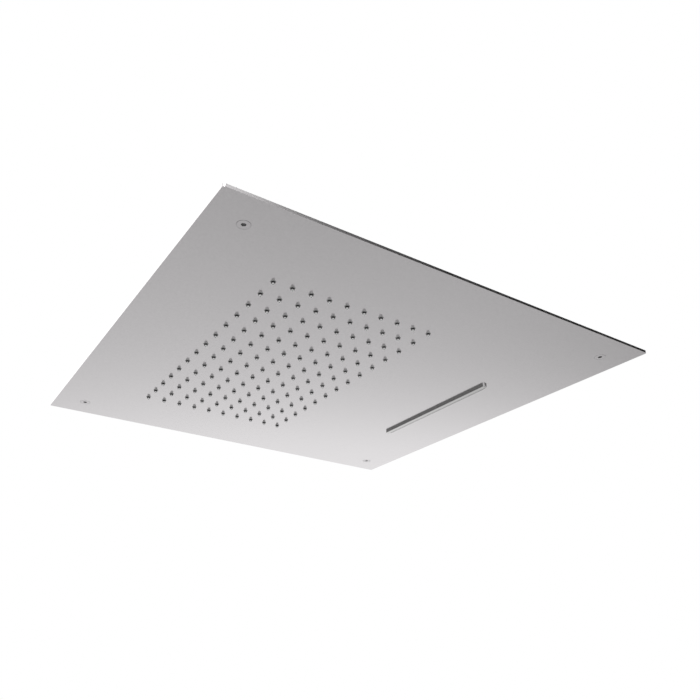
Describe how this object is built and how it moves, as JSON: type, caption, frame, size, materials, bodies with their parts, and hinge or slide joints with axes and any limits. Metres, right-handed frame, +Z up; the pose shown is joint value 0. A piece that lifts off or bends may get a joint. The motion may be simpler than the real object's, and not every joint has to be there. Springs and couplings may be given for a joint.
{
  "type": "ceiling rain shower head",
  "caption": "Flat square ceiling shower head with a field of soft rain nozzles, a slot lip for a waterfall sheet, corner screws and a hidden fixing frame.",
  "frame": {"origin": "centre of the four ceiling anchor holes, on the top face of the fixing frame", "axes": "+Z up towards the ceiling; the waterfall outlet is on the +X side, the nozzle field on the -X side"},
  "size_m": [0.5, 0.5, 0.0647],
  "materials": {
    "plate_steel": "fine satin",
    "nozzle_silicone": "soft gloss",
    "spout_steel": "polished",
    "seal_rubber": "matt",
    "fastener_steel": "turned",
    "housing_plastic": "fine moulded grain",
    "inlet_brass": "machined",
    "frame_zinc": "zinc coated"
  },
  "bodies": {
    "root": {"face_plate": "plate_steel", "nozzle_mat": "nozzle_silicone", "waterfall_spout": "spout_steel", "waterfall_gasket": "seal_rubber", "rain_inlet_seal": "seal_rubber", "waterfall_inlet_seal": "seal_rubber", "plate_screws": "fastener_steel", "rain_studs": "fastener_steel", "rain_nuts": "fastener_steel", "waterfall_studs": "fastener_steel", "waterfall_nuts": "fastener_steel", "rain_chamber": "housing_plastic", "waterfall_chamber": "housing_plastic", "rain_inlet": "inlet_brass", "waterfall_inlet": "inlet_brass", "rain_inlet_locknut": "inlet_brass", "waterfall_inlet_locknut": "inlet_brass", "frame_rail_right": "frame_zinc", "frame_rail_back": "frame_zinc", "frame_rail_left": "frame_zinc", "frame_rail_front": "frame_zinc", "corner_block_left_front": "frame_zinc", "corner_block_left_back": "frame_zinc", "corner_block_right_front": "frame_zinc", "corner_block_right_back": "frame_zinc"}
  },
  "joints": []
}
